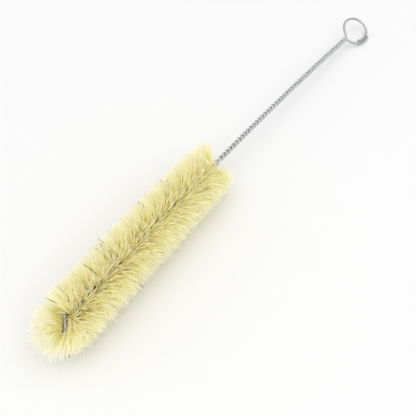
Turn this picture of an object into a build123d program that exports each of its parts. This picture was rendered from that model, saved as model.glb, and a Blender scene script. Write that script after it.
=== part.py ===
"""Twisted-in-wire bottle brush with a ring handle.

One length of galvanised wire is folded into a hairpin. Its two legs clamp the bristles and are
twisted together, loosely through the bristles and tightly along the bare stem. Both ends are then
turned into a ring, where they lie side by side. The brush rests on its bristles and on the low
side of its ring, and its wire bows slightly between them.

Units are millimetres and degrees. +X runs along the brush from the nose to the ring, +Z is up.
"""

from build123d import *
import math
import os
import random

# ---- wire ----------------------------------------------------------------------------------
wire_diameter = 1.25
stem_gap = 0.1              # air between the two legs along the bare stem
bristle_layer = 0.45        # thickness of the bristles pinched between the two legs
fold_width = 4.6            # width of the folded end, between the middles of its legs

# ---- twist, counted in half turns from the fold -------------------------------------------------
bare_fold = 0.3             # half turns at the fold with no bristles
tufts = 24                  # one tuft for each half turn after that
fold_half_turn = 7.0        # length of the open first half turn
tight_half_turn = 3.45      # length of the next one
loose_half_turn = 4.6       # length of the last one among the bristles
stem_half_turn = 2.43
stem_half_turns = 49
closing_half_turns = 2      # over these the folded end closes to the core's width
easing_half_turns = 2       # the first of the stem, over which the twist tightens

# ---- ring ---------------------------------------------------------------------------------------
ring_width = 14.0           # measured between the middles of the wire
ring_length = 17.2
ring_neck = 2.2             # from the last crossing of the legs to the ring's near side
ring_tilt = 29.0            # the ring's plane, turned about the stem with its +Y side up
first_ring_angle = 140.0    # where both legs have joined the ring, 0 being its far side
upper_leg_end = -125.0      # the leg that starts up the +Y side ends here, on the inside
lower_leg_end = -65.0       # the other leg ends here, on the outside
inward_shift = 0.4          # the upper leg moves in by this where the ends pass
shift_start = 35.0          # how far round the ring it begins to, on the way to its end
shift_reach = 45.0          # how much further round it has done so
ring_step = 30.0            # the most that one pair of arcs turns
ends_gap = 0.25             # air between the two legs where the ends pass

# ---- bristles --------------------------------------------------------------------------------------
head_diameter = 26.0
rows = 10                   # rows in a tuft, each a bundle of bristles that stands out both ways
bundle_root = 0.32          # width of a bundle where it leaves the pinch
bundle_tip = 0.46           # width of a bundle at its free end, where its bristles part
pinch_reach = 1.2           # the pinched layer reaches this far out from the middle
knee_radius = 2.1           # a bundle is straight out to here, and leans beyond it
clearance = 0.05            # between the pinched layer and the wire, and between two tufts
row_lap = 0.04              # overlap of one row's pinched layer with the next row's
fold_lean = 82.0            # how far the first bundles lean forward
fold_lean_reach = 5.5       # the lean dies away over about this length of wire
head_lean = 3.0             # how far the others lean back towards the ring
stem_lean = 9.0             # how much further the last ones do
stem_lean_reach = 5.0
uneven_lean = 4.0
uneven_turn = 3.0
uneven_length = 0.4

# ---- rest -----------------------------------------------------------------------------------------
flat_depth = 0.5            # how deep the bench presses the round of the bristles flat
bow_lean = 20.0             # the wire's bow leans this far from upright, towards -Y
sharpest_bow = 500.0        # no bow is tried with a radius under this
flattest_bow = 1e6
halvings = 40
samples = 100               # points tried round the ring for its lowest

dice_seed = 7

# ---- worked out from the sizes above -----------------------------------------------------------------
wire_radius = wire_diameter / 2
head_radius = head_diameter / 2
core_radius = (wire_diameter + bristle_layer) / 2
stem_radius = (wire_diameter + stem_gap) / 2
core_half_turns = bare_fold + tufts
all_half_turns = core_half_turns + stem_half_turns


def ease(share):
    """Smooth step from 0 to 1."""
    share = min(max(share, 0.0), 1.0)
    return share * share * (3 - 2 * share)


# ---- the line that the brush is built along -----------------------------------------------------------
def station(half_turns):
    """How far from the fold a count of half turns reaches."""
    if half_turns <= 1:
        return fold_half_turn * half_turns
    core = min(half_turns, core_half_turns) - 1
    growth = (loose_half_turn - tight_half_turn) / (core_half_turns - 1)
    along = fold_half_turn + tight_half_turn * core + growth * core * core / 2
    stem = max(half_turns - core_half_turns, 0)
    eased = min(stem, easing_half_turns)
    surplus = (loose_half_turn - stem_half_turn) * eased * (1 - eased / easing_half_turns / 2)
    return along + stem * stem_half_turn + surplus


head_length = station(core_half_turns)
ring_station = station(all_half_turns) + ring_neck + ring_length / 2


class Spine:
    """A shallow arc in a steep plane, level at the middle of the bristles."""

    def __init__(self, curvature):
        self.bow_radius = 1 / curvature
        lean = math.radians(bow_lean)
        self.downward = Vector(0, -math.sin(lean), -math.cos(lean))

    def frame(self, along):
        """Middle, forward, left and up at a distance along the brush."""
        turn = (along - head_length / 2) / self.bow_radius
        top = Vector(0, 0, head_radius - flat_depth)
        sag = self.bow_radius * (1 - math.cos(turn))
        middle = top + Vector(self.bow_radius * math.sin(turn), 0, 0) + self.downward * sag
        forward = Vector(math.cos(turn), 0, 0) + self.downward * math.sin(turn)
        left = Vector(0, 0, 1).cross(forward).normalized()
        return middle, forward, left, forward.cross(left)

    def point(self, along, left_by, up_by):
        middle, _, left, up = self.frame(along)
        return middle + left * left_by + up * up_by


# ---- the wire's middle line ----------------------------------------------------------------------------
def twist(half_turns):
    """Angle of the upper leg about the spine, from +Y. The twist is left-handed."""
    return math.radians(ring_tilt + 90) + math.pi * (all_half_turns - half_turns)


def leg_radius(half_turns):
    """Distance of a leg's middle from the spine."""
    opening = (fold_width / 2 - core_radius) * (1 - ease(half_turns / closing_half_turns))
    closing = (core_radius - stem_radius) * ease(half_turns - core_half_turns)
    return core_radius + opening - closing


def twisted_point(spine, half_turns, side):
    """Middle of a leg in the twist. The side is 1 for the upper leg and -1 for the lower."""
    reach = side * leg_radius(half_turns)
    angle = twist(half_turns)
    return spine.point(station(half_turns), reach * math.cos(angle), reach * math.sin(angle))


def ring_point(spine, angle, side):
    """Middle of a leg on the ring. The angle is 0 on the far side and 180 at the neck."""
    if side > 0:
        spread = -inward_shift * ease((-angle - shift_start) / shift_reach)
    else:
        spread = wire_diameter + ends_gap - inward_shift
    around = math.radians(angle)
    along = ring_station + (ring_length / 2 + spread) * math.cos(around)
    across = (ring_width / 2 + spread) * math.sin(around)
    lift = side * stem_radius * max(-math.cos(around), 0.0) ** 2
    tilt = math.radians(ring_tilt)
    left_by = across * math.cos(tilt) - lift * math.sin(tilt)
    up_by = across * math.sin(tilt) + lift * math.cos(tilt)
    return spine.point(along, left_by, up_by)


def nodes_along(curve, start, end, count):
    """Points and directions at even steps of a curve's parameter."""
    span = end - start
    nudge = span * 1e-6
    nodes = []
    for step in range(count + 1):
        at = start + span * step / count
        direction = curve(at + nudge) - curve(at - nudge)
        nodes.append((curve(at), direction.normalized()))
    return nodes


def leg_nodes(spine, side):
    """One leg from the fold to its free end."""
    quarter_turns = round(all_half_turns * 2)
    twisted = nodes_along(
        lambda half_turns: twisted_point(spine, half_turns, side), 0, all_half_turns, quarter_turns
    )
    start = side * first_ring_angle
    end = upper_leg_end if side > 0 else lower_leg_end
    steps = math.ceil(abs(end - start) / ring_step)
    ring = nodes_along(lambda angle: ring_point(spine, angle, side), start, end, steps)
    return twisted + ring


def biarc(start, start_direction, end, end_direction):
    """Two arcs, tangent to each other and to the directions given."""
    chord = end - start
    turn = 2 * (1 - start_direction.dot(end_direction))
    advance = chord.dot(start_direction + end_direction)
    square = chord.dot(chord)
    if turn < 1e-9:
        reach = square / (2 * advance)
    else:
        reach = (math.sqrt(advance * advance + turn * square) - advance) / turn
    corner = end - end_direction * reach
    middle = (start + start_direction * reach + corner) * 0.5
    return [
        Edge.make_tangent_arc(start, start_direction, middle),
        Edge.make_tangent_arc(middle, corner - middle, end),
    ]


def arcs_through(nodes):
    arcs = []
    for (start, start_direction), (end, end_direction) in zip(nodes, nodes[1:]):
        arcs += biarc(start, start_direction, end, end_direction)
    return arcs


def hairpin(spine):
    """The two legs, each from the nose to its free end, as lists of arcs."""
    upper, lower = leg_nodes(spine, 1), leg_nodes(spine, -1)
    middle, forward, _, _ = spine.frame(0)
    nose = middle - forward * (fold_width / 2)
    across = (lower[0][0] - upper[0][0]).normalized()
    return arcs_through([(nose, across * -1)] + upper), arcs_through([(nose, across)] + lower)


def twisted_wire(legs):
    """The whole wire, swept from one free end round the nose to the other."""
    path = Wire(legs[0] + legs[1])
    section = Plane(origin=path @ 0, z_dir=path % 0) * Circle(wire_radius)
    return sweep(section, path=path)


def least_gap(legs):
    """Least air between the legs past the fold, measured on points along their middles."""
    point_step = 0.2 * wire_diameter
    skipped = round(fold_half_turn / point_step)
    window = round(stem_half_turn / point_step)
    tracks = []
    for arcs in legs:
        leg = Wire(arcs)
        count = round(leg.length / point_step)
        tracks.append([leg.position_at(step / count) for step in range(count + 1)])
    gap = head_diameter
    for step in range(skipped, min(len(track) for track in tracks) - window):
        for other in range(step - window, step + window + 1):
            gap = min(gap, (tracks[0][step] - tracks[1][other]).length - wire_diameter)
    return gap


# ---- bristles -----------------------------------------------------------------------------------------
def lean_at(along):
    """Forward lean of the bundles: a fan at the fold, and a little back elsewhere."""
    fan = math.exp(-((along / fold_lean_reach) ** 2) / 2)
    end = math.exp(-(head_length - along) / stem_lean_reach)
    return fold_lean * fan - head_lean * (1 - fan) - stem_lean * end


class Row:
    """One bundle of bristles through the twist, with an end on each side."""

    def __init__(self, spine, tuft_number, row_number, dice):
        first = bare_fold + tuft_number + row_number / rows
        last = first + 1 / rows
        self.back = station(first) + (clearance if row_number == 0 else -row_lap / 2)
        self.front = station(last) + (-clearance if row_number == rows - 1 else row_lap / 2)
        along = (self.back + self.front) / 2
        self.middle, self.forward, left, up = spine.frame(along)
        angle = twist((first + last) / 2)
        self.to_wire = left * math.cos(angle) + up * math.sin(angle)
        self.outward = self.forward.cross(self.to_wire)
        self.layer = 2 * (leg_radius(last) - wire_radius - clearance)
        self.ends = [self.end(side, along, dice) for side in (1, -1)]

    def end(self, side, along, dice):
        """Root, knee and tip of the bundle on one side."""
        outward = self.outward * side
        lean = math.radians(lean_at(along) + dice.uniform(-uneven_lean, uneven_lean))
        turn = math.radians(dice.uniform(-uneven_turn, uneven_turn))
        length = head_radius - knee_radius - dice.uniform(0, uneven_length)
        direction = outward * math.cos(lean) - self.forward * math.sin(lean)
        direction = direction * math.cos(turn) + self.to_wire * math.sin(turn)
        root = self.middle + outward * (pinch_reach / 2)
        knee = self.middle + outward * knee_radius
        return root, knee, knee + direction * length


def square(middle, direction, to_wire, width):
    """A square face across a direction."""
    return Plane(origin=middle, x_dir=to_wire, z_dir=direction) * Rectangle(width, width)


def strand(row, root, knee, tip):
    """A four-sided bundle, straight to the knee and straight beyond it."""
    inner = (knee - root).normalized()
    outer = (tip - knee).normalized()
    faces = [
        square(root, inner, row.to_wire, bundle_root),
        square(knee, (inner + outer).normalized(), row.to_wire, bundle_root),
        square(tip, outer, row.to_wire, bundle_tip),
    ]
    return loft(faces, ruled=True)


def pinched_layer(row):
    plane = Plane(origin=row.middle, x_dir=row.forward, z_dir=row.to_wire)
    return plane * Box(row.front - row.back, 2 * pinch_reach, row.layer)


def tuft(tuft_rows):
    """Its slice of the pinched layer, with its bundles, cut flat where the bench is."""
    pieces = []
    for row in tuft_rows:
        pieces.append(pinched_layer(row))
        pieces += [strand(row, *end) for end in row.ends]
    whole = pieces[0].fuse(*pieces[1:])
    side = 2 * head_diameter
    above_bench = Pos(tuft_rows[0].middle.X, 0, side / 2) * Box(side, side, side)
    return whole & above_bench


# ---- rest ---------------------------------------------------------------------------------------------
def ring_height(spine):
    """Height of the ring's lowest point over the bench."""
    legs = ((1, first_ring_angle, upper_leg_end), (-1, -first_ring_angle, lower_leg_end))
    heights = []
    for side, start, end in legs:
        for step in range(samples + 1):
            angle = start + (end - start) * step / samples
            heights.append(ring_point(spine, angle, side).Z)
    return min(heights) - wire_radius


def resting_spine():
    """The bow at which the ring just touches the bench, found by halving."""
    flat, bent = 1 / flattest_bow, 1 / sharpest_bow
    for _ in range(halvings):
        middle = (flat + bent) / 2
        if ring_height(Spine(middle)) > 0:
            flat = middle
        else:
            bent = middle
    return Spine(flat)


def report(spine, legs, wire, to_origin):
    """Prints what the sizes lead to."""
    length = sum(arc.length for arcs in legs for arc in arcs)
    section = math.pi * wire_radius * wire_radius
    print(f"wire length {length:.1f}, volume over section times length {wire.volume / section / length:.5f}")
    print(f"least gap between the legs {least_gap(legs):.3f}, tightest bend "
          f"{min(arc.radius for arcs in legs for arc in arcs):.2f}")
    print(f"bow radius {spine.bow_radius:.0f}, strands {2 * rows * tufts}")
    print("middle of the ring's opening", (to_origin * Pos(*spine.frame(ring_station)[0])).position)


def main():
    dice = random.Random(dice_seed)
    spine = resting_spine()
    legs = hairpin(spine)
    nodes = {"twisted_wire": twisted_wire(legs)}
    for number in range(tufts):
        tuft_rows = [Row(spine, number, row, dice) for row in range(rows)]
        nodes[f"tuft_{number + 1:02d}"] = tuft(tuft_rows)
    boxes = [shape.bounding_box() for shape in nodes.values()]
    back = min(box.min.X for box in boxes)
    front = max(box.max.X for box in boxes)
    right = min(box.min.Y for box in boxes)
    left = max(box.max.Y for box in boxes)
    to_origin = Pos(-(back + front) / 2, -(right + left) / 2, 0)
    os.makedirs("parts", exist_ok=True)
    for name, shape in nodes.items():
        export_step(to_origin * shape, f"parts/{name}.step")
    report(spine, legs, nodes["twisted_wire"], to_origin)


main()
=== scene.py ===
"""Twisted-in-wire bottle brush: its display model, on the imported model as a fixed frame.

Run as a script, it dresses the wire, grows the bristles of each tuft, and lays the brush on a
pale floor under soft light. The brush is worked out in millimetres, which become metres where they
go into a mesh or a setting. The stage is in metres.
"""

import math

import bpy
from mathutils import Matrix, Vector


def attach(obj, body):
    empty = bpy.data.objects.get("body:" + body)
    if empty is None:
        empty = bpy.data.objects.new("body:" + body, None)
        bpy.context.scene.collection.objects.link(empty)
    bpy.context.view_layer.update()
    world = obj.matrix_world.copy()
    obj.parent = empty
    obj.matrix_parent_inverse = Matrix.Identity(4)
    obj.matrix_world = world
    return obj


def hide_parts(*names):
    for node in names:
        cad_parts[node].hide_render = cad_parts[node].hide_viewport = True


bl_info = {
    "name": "Bottle Brush",
    "version": (1, 0, 0),
    "blender": (4, 5, 0),
    "location": "View3D > Sidebar > Brush",
    "description": "Builds a twisted-in-wire bottle brush, its bristles and its stage",
    "category": "Object",
}

MM = 0.001
BODY = "root"
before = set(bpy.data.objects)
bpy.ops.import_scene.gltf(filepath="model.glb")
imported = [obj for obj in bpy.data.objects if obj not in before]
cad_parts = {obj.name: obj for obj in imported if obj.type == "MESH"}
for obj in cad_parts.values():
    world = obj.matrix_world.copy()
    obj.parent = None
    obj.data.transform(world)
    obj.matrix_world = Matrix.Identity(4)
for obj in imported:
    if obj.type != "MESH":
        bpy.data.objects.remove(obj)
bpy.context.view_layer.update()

# ---- the wire's twist: millimetres, degrees, and half turns from the fold ------------------------
WIRE_RADIUS = 0.625
LAYER = 0.34
FOLD_WIDTH = 4.6
CLOSING_HALF_TURNS = 2
BARE_FOLD = 0.3
TUFTS = 24
FOLD_HALF_TURN = 7.0
TIGHT_HALF_TURN = 3.45
LOOSE_HALF_TURN = 4.6
STEM_HALF_TURNS = 49
RING_TILT = 29.0
BOW_RADIUS = 1985.0
BOW_LEAN = 20.0
AXIS_HEIGHT = 12.5
NOSE_TO_MIDDLE = Vector((-66.592, 0.070, 0.0))
CORE_HALF_TURNS = BARE_FOLD + TUFTS
ALL_HALF_TURNS = CORE_HALF_TURNS + STEM_HALF_TURNS


def station(half_turns):
    """How far along the wire, from the fold, a count of half turns in the bristles reaches."""
    if half_turns <= 1:
        return FOLD_HALF_TURN * half_turns
    core = half_turns - 1
    growth = (LOOSE_HALF_TURN - TIGHT_HALF_TURN) / (CORE_HALF_TURNS - 1)
    return FOLD_HALF_TURN + TIGHT_HALF_TURN * core + growth * core * core / 2


HEAD_LENGTH = station(CORE_HALF_TURNS)


def spine_frame(along):
    """Middle, forward, left and up of the bowed spine at a distance from the fold."""
    turn = (along - HEAD_LENGTH / 2) / BOW_RADIUS
    lean = math.radians(BOW_LEAN)
    downward = Vector((0, -math.sin(lean), -math.cos(lean)))
    sag = BOW_RADIUS * (1 - math.cos(turn))
    middle = Vector((BOW_RADIUS * math.sin(turn), 0, AXIS_HEIGHT)) + downward * sag
    forward = Vector((math.cos(turn), 0, 0)) + downward * math.sin(turn)
    left = Vector((0, 0, 1)).cross(forward).normalized()
    return middle + NOSE_TO_MIDDLE, forward, left, forward.cross(left)


def twist(half_turns):
    """Angle of the upper leg of the wire about the spine. The twist is left-handed."""
    return math.radians(RING_TILT + 90) + math.pi * (ALL_HALF_TURNS - max(half_turns, 0))


def opening(half_turns):
    """Width between the legs of the wire, which bristles fill, at a count of half turns.

    Before the fold the legs are its round bar, and the width is a chord inside that.
    """
    if half_turns < 0:
        inside = FOLD_WIDTH / 2 - WIRE_RADIUS
        return 2 * math.sqrt(inside ** 2 - station(half_turns) ** 2)
    done = min(half_turns / CLOSING_HALF_TURNS, 1)
    closed = done * done * (3 - 2 * done)
    return LAYER + (FOLD_WIDTH - 2 * WIRE_RADIUS - LAYER) * (1 - closed)


# ---- settings ------------------------------------------------------------------------------------
def length(name, description, default):
    return bpy.props.FloatProperty(
        name=name, description=description, default=default, min=0, unit="LENGTH", precision=5)


def angle(name, description, degrees):
    return bpy.props.FloatProperty(
        name=name, description=description, default=math.radians(degrees), unit="ROTATION")


def share(name, description, default):
    return bpy.props.FloatProperty(
        name=name, description=description, default=default, min=0, max=1, subtype="FACTOR")


def colour(name, description, default):
    return bpy.props.FloatVectorProperty(
        name=name, description=description, default=default, size=3, min=0, max=1, subtype="COLOR")


class BrushWireSettings(bpy.types.PropertyGroup):
    """Finish of the twisted wire."""

    zinc: colour("Zinc", "Colour of the bright zinc coat", (0.56, 0.57, 0.57))
    dull_zinc: colour("Dull zinc", "Colour of the coat where it has dulled", (0.39, 0.40, 0.41))
    roughness: share("Roughness", "Roughness of the zinc coat", 0.27)


class BrushBristleSettings(bpy.types.PropertyGroup):
    """Sizes and colours of the bristles."""

    bristles: bpy.props.IntProperty(
        name="Bristles", description="Bristles in a tuft, each with two free ends", default=215, min=1)
    head_radius: length("Head radius", "From the spine to the trimmed ends", 13.6 * MM)
    root_width: length("Root width", "Thickness of a bristle where the wire clamps it", 0.25 * MM)
    tip_width: length("Tip width", "Thickness of a bristle at its free end", 0.17 * MM)
    uneven: length("Uneven ends", "How far short of the trimmed round an end may stop", 2.4 * MM)
    stray: length("Stray ends", "How far past the trimmed round a rare end may reach", 3.0 * MM)
    clump: bpy.props.IntProperty(
        name="Clump", description="Neighbouring bristles that lie together", default=6, min=1)
    gather: share("Gather", "How closely a clump's ends come together", 0.38)
    clump_lean: angle("Clump lean", "How far a clump may lean along the brush", 5.5)
    bristle_lean: angle("Bristle lean", "How far a bristle may lean out of its clump", 12)
    clump_turn: angle("Clump turn", "How far a clump may lean round the brush", 5)
    bristle_turn: angle("Bristle turn", "How far a bristle may turn out of its clump", 8)
    curl: share("Curl", "Sideways bend of a free end, as a share of its length", 0.075)
    dark_share: share("Dark share", "Share of the bristles that are dark", 0.004)
    pale: colour("Pale", "Most of the bristles' length", (1.0, 0.965, 0.48))
    # Painted shade: a dark colour on the bristles near the wire, where shade falls between the tufts.
    painted_root_shade: colour("Deep", "The bristles near the wire", (0.29, 0.215, 0.055))
    # Streaks: partly the bristles' random tone, partly painted shade between the clumps near the wire.
    ochre_tone_and_shade: colour("Ochre", "Streaks through the inner half of the bristles", (0.68, 0.51, 0.12))
    # Painted light: a near-white colour on the free ends, for light through the thin bristles.
    painted_tip_light: colour("Tip", "The bristles' free ends", (1.0, 0.99, 0.88))
    dark: colour("Dark", "The few dark bristles", (0.07, 0.055, 0.04))


class BrushStageSettings(bpy.types.PropertyGroup):
    """Floor and light."""

    floor: colour("Floor", "Colour of the floor", (0.90, 0.90, 0.90))
    sky: bpy.props.FloatProperty(
        name="Sky", description="Strength of the light from all round", default=0.80, min=0)
    key: bpy.props.FloatProperty(
        name="Key", description="Power of the large soft lamp", default=10.0, min=0, subtype="POWER")


# ---- node trees ----------------------------------------------------------------------------------
class Value:
    """A socket in a node tree. Arithmetic on it adds Math nodes."""

    def __init__(self, graph, socket):
        self.graph = graph
        self.socket = socket

    def __add__(self, other):
        return self.graph.math("ADD", self, other)

    __radd__ = __add__

    def __sub__(self, other):
        return self.graph.math("SUBTRACT", self, other)

    def __rsub__(self, other):
        return self.graph.math("SUBTRACT", other, self)

    def __mul__(self, other):
        return self.graph.math("MULTIPLY", self, other)

    __rmul__ = __mul__

    def __truediv__(self, other):
        return self.graph.math("DIVIDE", self, other)

    def __pow__(self, other):
        return self.graph.math("POWER", self, other)

    def __gt__(self, other):
        return self.graph.math("GREATER_THAN", self, other)


class Graph:
    """Adds nodes to a tree and joins them up."""

    def __init__(self, tree):
        self.tree = tree

    def node(self, kind, settings=None, sockets=None, output=0):
        """A node of a kind, its settings set before its sockets, as the value of one output."""
        node = self.tree.nodes.new(kind)
        for name, value in (settings or {}).items():
            setattr(node, name, value)
        for key, value in (sockets or {}).items():
            target = self.pick(node.inputs, key)
            if isinstance(value, Value):
                self.tree.links.new(value.socket, target)
            else:
                target.default_value = value
        return Value(self, self.pick(node.outputs, output)) if node.outputs else None

    @staticmethod
    def pick(sockets, key):
        """The socket at a place in the list, or the one in use that has the name."""
        if isinstance(key, int):
            return sockets[key]
        return next(socket for socket in sockets if socket.name == key and socket.enabled)

    def math(self, operation, *values):
        return self.node("ShaderNodeMath", {"operation": operation}, dict(enumerate(values)))

    def vector(self, operation, *values):
        return self.node("ShaderNodeVectorMath", {"operation": operation}, dict(enumerate(values)))

    def scaled(self, vector, by):
        return self.node(
            "ShaderNodeVectorMath", {"operation": "SCALE"}, {"Vector": vector, "Scale": by})

    def sum(self, first, *others):
        for other in others:
            first = self.vector("ADD", first, other)
        return first


class GeometryGraph(Graph):
    """A geometry tree with named inputs that ends in Realize Instances and Set Material."""

    def __init__(self, name):
        super().__init__(bpy.data.node_groups.new(name, "GeometryNodeTree"))
        self.entry = self.tree.nodes.new("NodeGroupInput")
        self.values = {}
        self.geometry = self.input("Geometry", "NodeSocketGeometry")

    def input(self, name, kind="NodeSocketFloat", value=None):
        socket = self.tree.interface.new_socket(name=name, in_out="INPUT", socket_type=kind)
        self.values[socket.identifier] = value
        return Value(self, self.entry.outputs[-2])

    def named(self, name, kind="FLOAT"):
        return self.node("GeometryNodeInputNamedAttribute", {"data_type": kind}, {"Name": name},
                         "Attribute")

    def store(self, geometry, name, value, kind="FLOAT"):
        return self.node("GeometryNodeStoreNamedAttribute", {"data_type": kind, "domain": "POINT"},
                         {"Geometry": geometry, "Name": name, "Value": value})

    def random(self, low, high, identity, seed):
        return self.node("FunctionNodeRandomValue", {"data_type": "FLOAT"},
                         {"Min": low, "Max": high, "ID": identity, "Seed": seed}, "Value")

    def mix_vector(self, share, first, second):
        return self.node("ShaderNodeMix", {"data_type": "VECTOR"},
                         {"Factor": share, "A": first, "B": second}, "Result")

    def finish(self, geometry, material):
        self.tree.interface.new_socket(
            name="Geometry", in_out="OUTPUT", socket_type="NodeSocketGeometry")
        realized = self.node("GeometryNodeRealizeInstances", sockets={"Geometry": geometry})
        painted = self.node("GeometryNodeSetMaterial",
                            sockets={"Geometry": realized, "Material": material})
        self.node("NodeGroupOutput", sockets={0: painted})

    def apply(self, name, mesh, changes):
        """Runs the tree on a mesh, with some inputs changed, and returns the mesh object it makes."""
        source = bpy.data.objects.new(name + "_source", mesh)
        bpy.context.scene.collection.objects.link(source)
        modifier = source.modifiers.new("nodes", "NODES")
        modifier.node_group = self.tree
        for item in self.tree.interface.items_tree:
            if item.in_out != "INPUT":
                continue
            value = changes.get(item.name, self.values[item.identifier])
            if value is not None:
                modifier[item.identifier] = value
        bpy.context.view_layer.update()
        evaluated = source.evaluated_get(bpy.context.evaluated_depsgraph_get())
        made = bpy.data.meshes.new_from_object(evaluated)
        made.name = name
        bpy.data.objects.remove(source)
        bpy.data.meshes.remove(mesh)
        piece = bpy.data.objects.new(name, made)
        bpy.context.scene.collection.objects.link(piece)
        return piece


class MaterialGraph(Graph):
    """A material's tree with one Principled surface."""

    def __init__(self, name):
        self.material = bpy.data.materials.new(name)
        self.material.use_nodes = True
        super().__init__(self.material.node_tree)
        self.tree.nodes.clear()

    def attribute(self, name):
        return self.node("ShaderNodeAttribute", {"attribute_name": name}, output="Fac")

    def mix(self, share, first, second):
        sockets = {"Factor": share, "A": opaque(first), "B": opaque(second)}
        return self.node("ShaderNodeMix", {"data_type": "RGBA"}, sockets, "Result")

    def rise(self, value, ends, rounding):
        """From 0 where the value is at the first end to 1 at the second, rounded off near 1."""
        return self.math("SMOOTH_MIN", (value - ends[0]) / (ends[1] - ends[0]), 1.0, rounding)

    def noise(self, vector, scale, detail):
        sockets = {"Vector": vector, "Scale": scale, "Detail": detail}
        return self.node("ShaderNodeTexNoise", sockets=sockets, output="Fac")

    def surface(self, **sockets):
        named = {name.replace("_", " "): value for name, value in sockets.items()}
        principled = self.node("ShaderNodeBsdfPrincipled", sockets=named)
        self.node("ShaderNodeOutputMaterial", sockets={"Surface": principled})
        return self.material


def opaque(value):
    """A colour as four numbers, or a link as it is."""
    return value if isinstance(value, Value) else (*value, 1.0)


# ---- finishes ------------------------------------------------------------------------------------
# The zinc coat: noise scales per metre, where its mottle turns dull, and its grain, whose depth is
# in millimetres.
MOTTLE_SCALE = 900.0
MOTTLE_DETAIL = 3.0
GRAIN_SCALE = 5200.0
GRAIN_DETAIL = 2.0
GRAIN_DEPTH = 0.02
GRAIN_STRENGTH = 0.12
DULL_FROM = 0.45
DULL_TO = 0.7
DULL_ROUGHER = 0.16


def galvanised_wire(settings):
    """Bright drawn wire under a thin, slightly mottled coat of zinc."""
    graph = MaterialGraph("galvanised_wire_finish")
    place = graph.node("ShaderNodeTexCoord", output="Object")
    mottle = graph.noise(place, MOTTLE_SCALE, MOTTLE_DETAIL)
    grain = graph.noise(place, GRAIN_SCALE, GRAIN_DETAIL)
    dull = graph.node("ShaderNodeMapRange",
                      sockets={"Value": mottle, "From Min": DULL_FROM, "From Max": DULL_TO},
                      output="Result")
    depth = GRAIN_DEPTH * MM
    bump = graph.node("ShaderNodeBump",
                      sockets={"Strength": GRAIN_STRENGTH, "Distance": depth, "Height": grain},
                      output="Normal")
    return graph.surface(
        Base_Color=graph.mix(dull, settings.zinc, settings.dull_zinc),
        Metallic=1.0,
        Roughness=settings.roughness + dull * DULL_ROUGHER,
        Normal=bump,
    )


# Where along a bristle, from 0 at the wire to 1 at its end, the painted shade near the wire
# gives way to the pale body, and the pale body to the painted light at the ends; how much sooner
# that is in the fan, where the roots lie open to the light; and how softly it ends.
ROOT_SHADE_TO_PALE = (0.05, 0.25)
PALE_TO_TIP_LIGHT = (0.5, 1.09)
FAN_SOONER = (0.1, 0.18)
ROOT_SHADE_ROUNDING, END_ROUNDING = 0.2, 0.1
# How much of the streaks' colour a clump's tone and a bristle's shade bring, past a threshold. The
# streaks are partly random tone and partly painted shade between the clumps near the wire; they
# fade outwards and are fewer in the fan.
TONE_STREAK, TONE_GAIN = 0.45, 2.6
SHADE_STREAK, SHADE_GAIN = 0.7, 2.0
STREAK_FADE = 1.5
FAN_CLEARER = 0.6
SATURATION, TONE_SATURATION = 0.9, 0.2


def bristle_finish(settings):
    """Natural bristle: cream, painted shade near the wire, painted light at the ends; a few dark."""
    graph = MaterialGraph("natural_bristle")
    out = graph.attribute("out")
    shade = graph.attribute("shade")
    tone = graph.attribute("tone")
    opened = graph.attribute("fan")
    # Painted shade near the wire, giving way to the pale body further out; less of it in the open fan.
    past_root_shade = graph.rise(out + opened * FAN_SOONER[0], ROOT_SHADE_TO_PALE, ROOT_SHADE_ROUNDING)
    # Painted light at the free ends, from further in where the fan lies open.
    tip_light_share = graph.rise(out + opened * FAN_SOONER[1], PALE_TO_TIP_LIGHT, END_ROUNDING)
    # Streaks of random tone and painted shade between the clumps, fading outwards, fewer in the fan.
    streak_and_shade = (graph.math("MAXIMUM", tone - TONE_STREAK, 0.0) * TONE_GAIN
              + graph.math("MAXIMUM", shade - SHADE_STREAK, 0.0) * SHADE_GAIN)
    streak_and_shade = streak_and_shade * (1 - out) ** STREAK_FADE * (1 - opened * FAN_CLEARER)
    body = graph.mix(past_root_shade, settings.painted_root_shade, settings.pale)
    body = graph.mix(graph.math("MINIMUM", streak_and_shade, 1.0), body, settings.ochre_tone_and_shade)
    with_tip_light = graph.mix(tip_light_share, body, settings.painted_tip_light)
    toned = graph.node("ShaderNodeHueSaturation",
                       sockets={"Saturation": SATURATION + tone * TONE_SATURATION, "Color": with_tip_light},
                       output="Color")
    base = graph.mix(shade > 1 - settings.dark_share, toned, settings.dark)
    return graph.surface(Base_Color=base, Roughness=0.48, Specular_IOR_Level=0.35,
                         Sheen_Weight=0.4, Sheen_Roughness=0.5)


# ---- bristles ------------------------------------------------------------------------------------
# Lengths are in millimetres, leans in degrees, and places along the wire in half turns. The rest
# are counts, shares and powers.
LINE_STEPS = 16
THREAD_POINTS = 11
TUBE_SIDES = 3
MEAN_TUFT = 4.0

# Each row has its own run of seeds, and in a row each draw has its own place in the run.
SEED = 3000
ROW_SEEDS = 20
DRAWS = ("uneven", "clump_lean", "lean", "clump_turn", "turn", "bend", "side_bend", "layer",
         "shade", "tone", "stray")

# The first bristles: a fan over the nose, held at the bar of the fold, then looser rows behind it.
FOLD_FAN = (-0.22, 0.22)
FOLD_FAN_BRISTLES = 420
FOLD_FAN_SPREAD = 1.7
BEHIND_FAN = ((0.22, 0.34), (0.5, 0.62), (1.25, 1.5))
BEHIND_FAN_BRISTLES = 120
BEHIND_FAN_SPREAD = 1.5
FOLD_LEAN = 52.0
FOLD_LEAN_REACH = 2.7
FOLD_LEAN_DROP = 2.5
FAN_SHORTER = 0.12
FAN_KNEE = 0.6
FAN_SPREAD = 0.9
LEAD_LEAN = 17.0
SPLAY_REACH = 8.0
THICKER = 0.3

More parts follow.
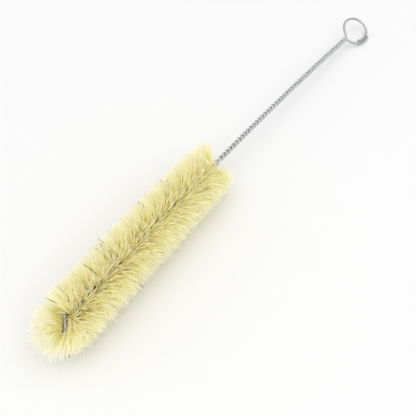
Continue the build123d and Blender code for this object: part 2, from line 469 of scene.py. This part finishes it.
# The rest of the head, and the last bristles beside the stem.
HEAD_LEAN = 3.0
LAST_ROW = 23.63
STEM_END = (24.0, 24.3)
STEM_END_BRISTLES = 80
STEM_LEAN = 3.0
STEM_LEAN_REACH = 5.0
STEM_SPREAD = 0.8
STEM_SHORTER = 0.08

# A bristle: straight as far as its knee, and fine or stout. A rarity is the power to which a random
# share is raised: the higher it is, the fewer bristles stop short, are stout or stray.
KNEE = 2.1
FINE = 0.72
STOUT = 0.85
STOUT_RARITY = 3
UNEVEN_RARITY = 1.5
STRAY_RARITY = 40
SETTLE = 0.4

POINT_NUMBERS = ("lean", "fan", "splay", "layer", "short")
POINT_VECTORS = ("outward", "forward", "to_wire")
THREAD_NOTES = ("strand", "along", "leader_root", "leader_out", "lean", "splay", "layer", "short",
                *POINT_VECTORS)


def lean_at(along):
    """Lean of the bristles towards the nose: a fan at the fold, less after it, then a little back."""
    fan = fan_at(along)
    lead = LEAD_LEAN * splay_at(along) - HEAD_LEAN
    return math.radians(FOLD_LEAN * fan + lead * (1 - fan) - STEM_LEAN * stem_end(along))


def splay_at(along):
    """Share of the splay of the first bristles, where the twist is still open."""
    return math.exp(-((along / SPLAY_REACH) ** 2))


def stem_end(along):
    """Share of the looser lie of the last bristles, next to the stem."""
    return math.exp(-(HEAD_LENGTH - along) / STEM_LEAN_REACH)


def fan_at(along):
    """Share of the fan at the fold in how the bristles lie."""
    return math.exp(-((max(along, 0) / FOLD_LEAN_REACH) ** FOLD_LEAN_DROP))


def pinch_line(start, end):
    """A line along which the wire clamps bristles, between two half turns, with their directions."""
    points = []
    notes = {name: [] for name in POINT_NUMBERS + POINT_VECTORS}
    for step in range(LINE_STEPS + 1):
        half_turns = start + (end - start) * step / LINE_STEPS
        along = station(half_turns)
        middle, forward, left, up = spine_frame(along)
        turned = twist(half_turns)
        to_wire = left * math.cos(turned) + up * math.sin(turned)
        points.append(middle * MM)
        notes["forward"].append(forward)
        notes["to_wire"].append(to_wire)
        notes["outward"].append(forward.cross(to_wire))
        notes["lean"].append(lean_at(along))
        notes["fan"].append(fan_at(along))
        notes["splay"].append(FAN_SPREAD * splay_at(along) + STEM_SPREAD * stem_end(along))
        notes["layer"].append(opening(half_turns) * MM)
        notes["short"].append(STEM_SHORTER * stem_end(along) + FAN_SHORTER * fan_at(along))
    mesh = bpy.data.meshes.new("pinch_line")
    mesh.from_pydata(points, [(step, step + 1) for step in range(LINE_STEPS)], [])
    for name in POINT_NUMBERS:
        mesh.attributes.new(name, "FLOAT", "POINT").data.foreach_set("value", notes[name])
    for name in POINT_VECTORS:
        flat = [number for vector in notes[name] for number in vector]
        mesh.attributes.new(name, "FLOAT_VECTOR", "POINT").data.foreach_set("vector", flat)
    return mesh


def bristle_rows(bristles):
    """Each row's name, tuft, ends in half turns, count of bristles and how much looser it is."""
    rows = [("bristles_fold", "tuft_01", FOLD_FAN, FOLD_FAN_BRISTLES, FOLD_FAN_SPREAD)]
    for number, ends in enumerate(BEHIND_FAN, 1):
        tuft = int(ends[1] - BARE_FOLD) + 1
        rows.append((f"bristles_behind_fold_{number}", f"tuft_{tuft:02d}", ends,
                     BEHIND_FAN_BRISTLES, BEHIND_FAN_SPREAD))
    for number in range(TUFTS):
        start = BARE_FOLD + number
        end = start + 1 if number < TUFTS - 1 else LAST_ROW
        count = bristles * (station(end) - station(start)) / MEAN_TUFT
        count = count * (1 + THICKER * splay_at(station(start)))
        rows.append((f"bristles_{number + 1:02d}", f"tuft_{number + 1:02d}", (start, end), count,
                     0.0))
    rows.append(("bristles_stem_end", f"tuft_{TUFTS}", STEM_END, STEM_END_BRISTLES, 0.0))
    return rows


class BristleGraph(GeometryGraph):
    """Grows bristles along a pinch line, each a thread through the wire with two free ends."""

    def __init__(self, settings, material):
        super().__init__("bristles")
        self.add_inputs(settings)
        self.index = self.node("GeometryNodeInputIndex")
        self.position = self.node("GeometryNodeInputPosition")
        threads = self.threads(self.roots())
        self.read_threads()
        place = self.off_the_floor(self.place())
        threads = self.node("GeometryNodeSetPosition",
                            sockets={"Geometry": threads, "Position": place})
        threads = self.store(threads, "shade", self.draw("shade", 0.0, 1.0, self.strand))
        threads = self.store(threads, "tone", self.draw("tone", 0.0, 1.0, self.clump_end))
        threads = self.store(threads, "out", self.out)
        self.finish(self.tubes(threads), material)

    def add_inputs(self, settings):
        """The tree's named inputs, which stand at the settings' values where a row sets no other."""
        integer = "NodeSocketInt"
        self.count = self.input("Bristles", integer, settings.bristles)
        self.clump = self.input("Clump", integer, settings.clump)
        self.gather = self.input("Gather", value=settings.gather)
        self.radius = self.input("Head Radius", value=settings.head_radius)
        self.uneven = self.input("Uneven", value=settings.uneven)
        self.root_width = self.input("Root Width", value=settings.root_width)
        self.tip_width = self.input("Tip Width", value=settings.tip_width)
        self.clump_lean = self.input("Clump Lean", value=settings.clump_lean)
        self.bristle_lean = self.input("Bristle Lean", value=settings.bristle_lean)
        self.clump_turn = self.input("Clump Turn", value=settings.clump_turn)
        self.bristle_turn = self.input("Bristle Turn", value=settings.bristle_turn)
        self.curl = self.input("Curl", value=settings.curl)
        self.knee = self.input("Knee", value=KNEE * MM)
        self.dark_share = self.input("Dark Share", value=settings.dark_share)
        self.stray = self.input("Stray", value=settings.stray)
        self.looser = self.input("Looser", value=0.0)
        self.seed = self.input("Seed", integer, 0)

    def draw(self, name, low, high, identity):
        """A random number for each identity, from the draw that has the name."""
        return self.random(low, high, identity, self.seed + DRAWS.index(name))

    def direction(self, name):
        return self.named(name, "FLOAT_VECTOR")

    def roots(self):
        """Points evenly along the pinch line, each with the middle of its clump noted on it."""
        line = self.node("GeometryNodeMeshToCurve", sockets={"Mesh": self.geometry})
        roots = self.node("GeometryNodeCurveToPoints", {"mode": "COUNT"},
                          {"Curve": line, "Count": self.count}, "Points")
        roots = self.store(roots, "strand", self.index, "INT")
        in_clump = self.math("FLOOR", self.index / self.clump)
        leader = self.math("MINIMUM", in_clump * self.clump + self.clump / 2, self.count - 1)
        for name, field in (("leader_root", self.position), ("leader_out", self.direction("outward"))):
            sampled = self.node("GeometryNodeSampleIndex", {"data_type": "FLOAT_VECTOR"},
                                {"Geometry": roots, "Value": field, "Index": leader}, "Value")
            roots = self.store(roots, name, sampled, "FLOAT_VECTOR")
        return roots

    def threads(self, roots):
        """A thread on each root, from one free end to the other; "along" runs from -1 to 1."""
        thread = self.node("GeometryNodeMeshLine", {"mode": "END_POINTS"}, {"Count": THREAD_POINTS})
        thread = self.store(thread, "along", self.index * (2 / (THREAD_POINTS - 1)) - 1)
        threads = self.node("GeometryNodeInstanceOnPoints",
                            sockets={"Points": roots, "Instance": thread, "Scale": (0, 0, 0)})
        return self.node("GeometryNodeRealizeInstances", sockets={"Geometry": threads})

    def read_threads(self):
        """What each point of a thread knows: its strand, its side and which free end it leads to."""
        along = self.named("along")
        self.strand = self.named("strand", "INT")
        self.side = self.math("SIGN", along)
        self.out = self.math("ABSOLUTE", along)
        self.end = self.strand * 2 + (along > 0)
        self.clump_end = self.math("FLOOR", self.strand / self.clump) * 2 + (along > 0)

    def reach(self):
        """Length from the spine to a free end: up to the trimmed round, and rarely past it."""
        trimmed = self.radius * (1 - self.named("short"))
        missing = self.uneven * self.draw("uneven", 0.0, 1.0, self.end) ** UNEVEN_RARITY
        past = self.stray * self.draw("stray", 0.0, 1.0, self.end) ** STRAY_RARITY
        return trimmed - missing + past

    def lean_and_turn(self):
        """Angles by which a free end leans along the brush and turns round it."""
        spread = 1 + self.named("splay") + self.looser
        lean = (self.named("lean")
                + self.clump_lean * self.draw("clump_lean", -1.0, 1.0, self.clump_end)
                + self.bristle_lean * self.draw("lean", -1.0, 1.0, self.end) * spread)
        turn = (self.clump_turn * self.draw("clump_turn", -1.0, 1.0, self.clump_end)
                + self.bristle_turn * self.draw("turn", -1.0, 1.0, self.end) * spread)
        return lean, turn

    def offsets(self, held, free, reach):
        """How far a point stands outwards, along and across from its root."""
        lean, turn = self.lean_and_turn()
        bend = free * free / reach * self.curl
        outward = held + free * self.math("COSINE", lean)
        forward = free * self.math("SINE", lean) * -1
        forward = forward + bend * self.draw("bend", -1.0, 1.0, self.end)
        across = free * self.math("SINE", turn) + bend * self.draw("side_bend", -1.0, 1.0, self.end)
        across = across + self.named("layer") * self.draw("layer", -0.5, 0.5, self.strand)
        return outward, forward, across

    def place(self):
        """Where a point goes: straight as far as the knee, then free, and drawn to its clump."""
        reach = self.reach()
        knee = self.knee * (1 - FAN_KNEE * self.named("fan"))
        free = self.math("MAXIMUM", self.out * reach - knee, 0.0)
        held = self.math("MINIMUM", self.out * reach, knee)
        outward_by, forward_by, across_by = self.offsets(held, free, reach)
        together = self.gather * free / reach
        root = self.mix_vector(together, self.position, self.direction("leader_root"))
        outward = self.mix_vector(together, self.direction("outward"), self.direction("leader_out"))
        return self.sum(
            root,
            self.scaled(outward, outward_by * self.side),
            self.scaled(self.direction("forward"), forward_by),
            self.scaled(self.direction("to_wire"), across_by),
        )

    def off_the_floor(self, place):
        """A place as it is, or eased up where it comes close to the floor or under it."""
        z = self.node("ShaderNodeSeparateXYZ", sockets={"Vector": place}, output="Z")
        lifted = self.math("SMOOTH_MAX", z, self.tip_width / 2, SETTLE * MM) - z
        return self.sum(place, self.node("ShaderNodeCombineXYZ", sockets={"Z": lifted}))

    def tubes(self, threads):
        """The threads as thin tubes that taper to both free ends, without their helper notes."""
        curves = self.node("GeometryNodeMeshToCurve", sockets={"Mesh": threads})
        shade = self.named("shade")
        stout = STOUT * (1 - shade) ** STOUT_RARITY + STOUT * (shade > 1 - self.dark_share)
        taper = self.root_width + (self.tip_width - self.root_width) * self.out
        width = taper * (FINE + stout)
        section = self.node("GeometryNodeCurvePrimitiveCircle",
                            sockets={"Resolution": TUBE_SIDES, "Radius": 1.0})
        tubes = self.node("GeometryNodeCurveToMesh",
                          sockets={"Curve": curves, "Profile Curve": section, "Scale": width / 2,
                                   "Fill Caps": True})
        tubes = self.node("GeometryNodeSetShadeSmooth",
                          sockets={"Geometry": tubes, "Shade Smooth": False})
        for name in THREAD_NOTES:
            tubes = self.node("GeometryNodeRemoveAttribute",
                              sockets={"Geometry": tubes, "Name": name})
        return tubes


# ---- operators -----------------------------------------------------------------------------------
class BRUSH_OT_wire(bpy.types.Operator):
    """Gives the twisted wire its zinc finish"""

    bl_idname = "brush.wire"
    bl_label = "Dress Wire"

    def execute(self, context):
        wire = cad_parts["twisted_wire"]
        wire.material_slots[0].material = galvanised_wire(context.scene.brush_wire)
        return {"FINISHED"}


class BRUSH_OT_bristles(bpy.types.Operator):
    """Grows the bristles of each tuft in place of its solid"""

    bl_idname = "brush.bristles"
    bl_label = "Grow Bristles"

    def execute(self, context):
        settings = context.scene.brush_bristles
        tree = BristleGraph(settings, bristle_finish(settings))
        for place, (name, tuft, ends, count, looser) in enumerate(bristle_rows(settings.bristles)):
            changes = {"Seed": place * ROW_SEEDS + SEED, "Bristles": round(count), "Looser": looser}
            piece = tree.apply(name, pinch_line(*ends), changes)
            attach(piece, BODY)
            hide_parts(tuft)
        return {"FINISHED"}


class BRUSH_OT_stage(bpy.types.Operator):
    """Lays a pale floor and sets the light and the camera"""

    bl_idname = "brush.stage"
    bl_label = "Set Stage"

    def execute(self, context):
        settings = context.scene.brush_stage
        make_floor(context, settings)
        make_sky(context, settings)
        make_lamp(context, settings)
        make_camera(context)
        context.scene.view_settings.view_transform = "Standard"
        return {"FINISHED"}


FLOOR_HALF = 3.0


def make_floor(context, settings):
    corners = [(x * FLOOR_HALF, y * FLOOR_HALF, 0) for x, y in ((-1, -1), (1, -1), (1, 1), (-1, 1))]
    mesh = bpy.data.meshes.new("floor")
    mesh.from_pydata(corners, [], [(0, 1, 2, 3)])
    graph = MaterialGraph("floor_paint")
    mesh.materials.append(graph.surface(Base_Color=opaque(settings.floor), Roughness=0.9,
                                        Specular_IOR_Level=0.0))
    floor = bpy.data.objects.new("floor", mesh)
    context.scene.collection.objects.link(floor)


def make_sky(context, settings):
    world = bpy.data.worlds.new("soft_sky")
    world.use_nodes = True
    context.scene.world = world
    background = world.node_tree.nodes["Background"]
    background.inputs["Color"].default_value = (1, 1, 1, 1)
    background.inputs["Strength"].default_value = settings.sky


LAMP_PLACE = Vector((-0.2, -0.3, 1.2))
LAMP_SIZE = 2.4


def make_lamp(context, settings):
    data = bpy.data.lights.new("key", "AREA")
    data.energy = settings.key
    data.size = LAMP_SIZE
    lamp = bpy.data.objects.new("key", data)
    context.scene.collection.objects.link(lamp)
    lamp.location = LAMP_PLACE
    lamp.rotation_euler = (-LAMP_PLACE).to_track_quat("-Z", "Y").to_euler()


CAMERA_PLACE = Vector((-0.1726, -0.1168, 0.2367))
CAMERA_AZIMUTH = math.radians(-52.25)
CAMERA_ELEVATION = math.radians(52.8)
CAMERA_ROLL = math.radians(-2.15)
CAMERA_VIEW = math.radians(35.53)
CAMERA_NEAR = 0.01


def make_camera(context):
    data = bpy.data.cameras.new("camera")
    data.angle = CAMERA_VIEW
    data.clip_start = CAMERA_NEAR
    camera = bpy.data.objects.new("camera", data)
    context.scene.collection.objects.link(camera)
    level = Vector((-math.sin(CAMERA_AZIMUTH), math.cos(CAMERA_AZIMUTH), 0))
    forward = level * math.cos(CAMERA_ELEVATION) - Vector((0, 0, math.sin(CAMERA_ELEVATION)))
    right = Vector((math.cos(CAMERA_AZIMUTH), math.sin(CAMERA_AZIMUTH), 0))
    up = right.cross(forward)
    rolled_right = right * math.cos(CAMERA_ROLL) + up * math.sin(CAMERA_ROLL)
    rolled_up = up * math.cos(CAMERA_ROLL) - right * math.sin(CAMERA_ROLL)
    turned = Matrix((rolled_right, rolled_up, -forward)).transposed()
    camera.matrix_world = Matrix.Translation(CAMERA_PLACE) @ turned.to_4x4()
    context.scene.camera = camera


class BRUSH_PT_panel(bpy.types.Panel):
    """Lists the settings and the operators"""

    bl_idname = "BRUSH_PT_panel"
    bl_label = "Bottle Brush"
    bl_space_type = "VIEW_3D"
    bl_region_type = "UI"
    bl_category = "Brush"

    def draw(self, context):
        for group, operator in STEPS:
            box = self.layout.box()
            settings = getattr(context.scene, group)
            for name in settings.bl_rna.properties.keys():
                if name not in ("rna_type", "name"):
                    box.prop(settings, name)
            box.operator(operator)


STEPS = (
    ("brush_stage", "brush.stage"),
    ("brush_wire", "brush.wire"),
    ("brush_bristles", "brush.bristles"),
)
SETTINGS = {
    "brush_wire": BrushWireSettings,
    "brush_bristles": BrushBristleSettings,
    "brush_stage": BrushStageSettings,
}
CLASSES = (*SETTINGS.values(), BRUSH_OT_wire, BRUSH_OT_bristles, BRUSH_OT_stage, BRUSH_PT_panel)


def register():
    for cls in CLASSES:
        bpy.utils.register_class(cls)
    for name, cls in SETTINGS.items():
        setattr(bpy.types.Scene, name, bpy.props.PointerProperty(type=cls))


def unregister():
    for name in SETTINGS:
        delattr(bpy.types.Scene, name)
    for cls in reversed(CLASSES):
        bpy.utils.unregister_class(cls)


# Light passes between many bristles before it comes out.
DIFFUSE_BOUNCES = 14
MAX_BOUNCES = 16


def main():
    register()
    bpy.context.scene.cycles.diffuse_bounces = DIFFUSE_BOUNCES
    bpy.context.scene.cycles.max_bounces = MAX_BOUNCES
    bpy.ops.brush.stage()
    bpy.ops.brush.wire()
    bpy.ops.brush.bristles()


if __name__ == "__main__":
    main()
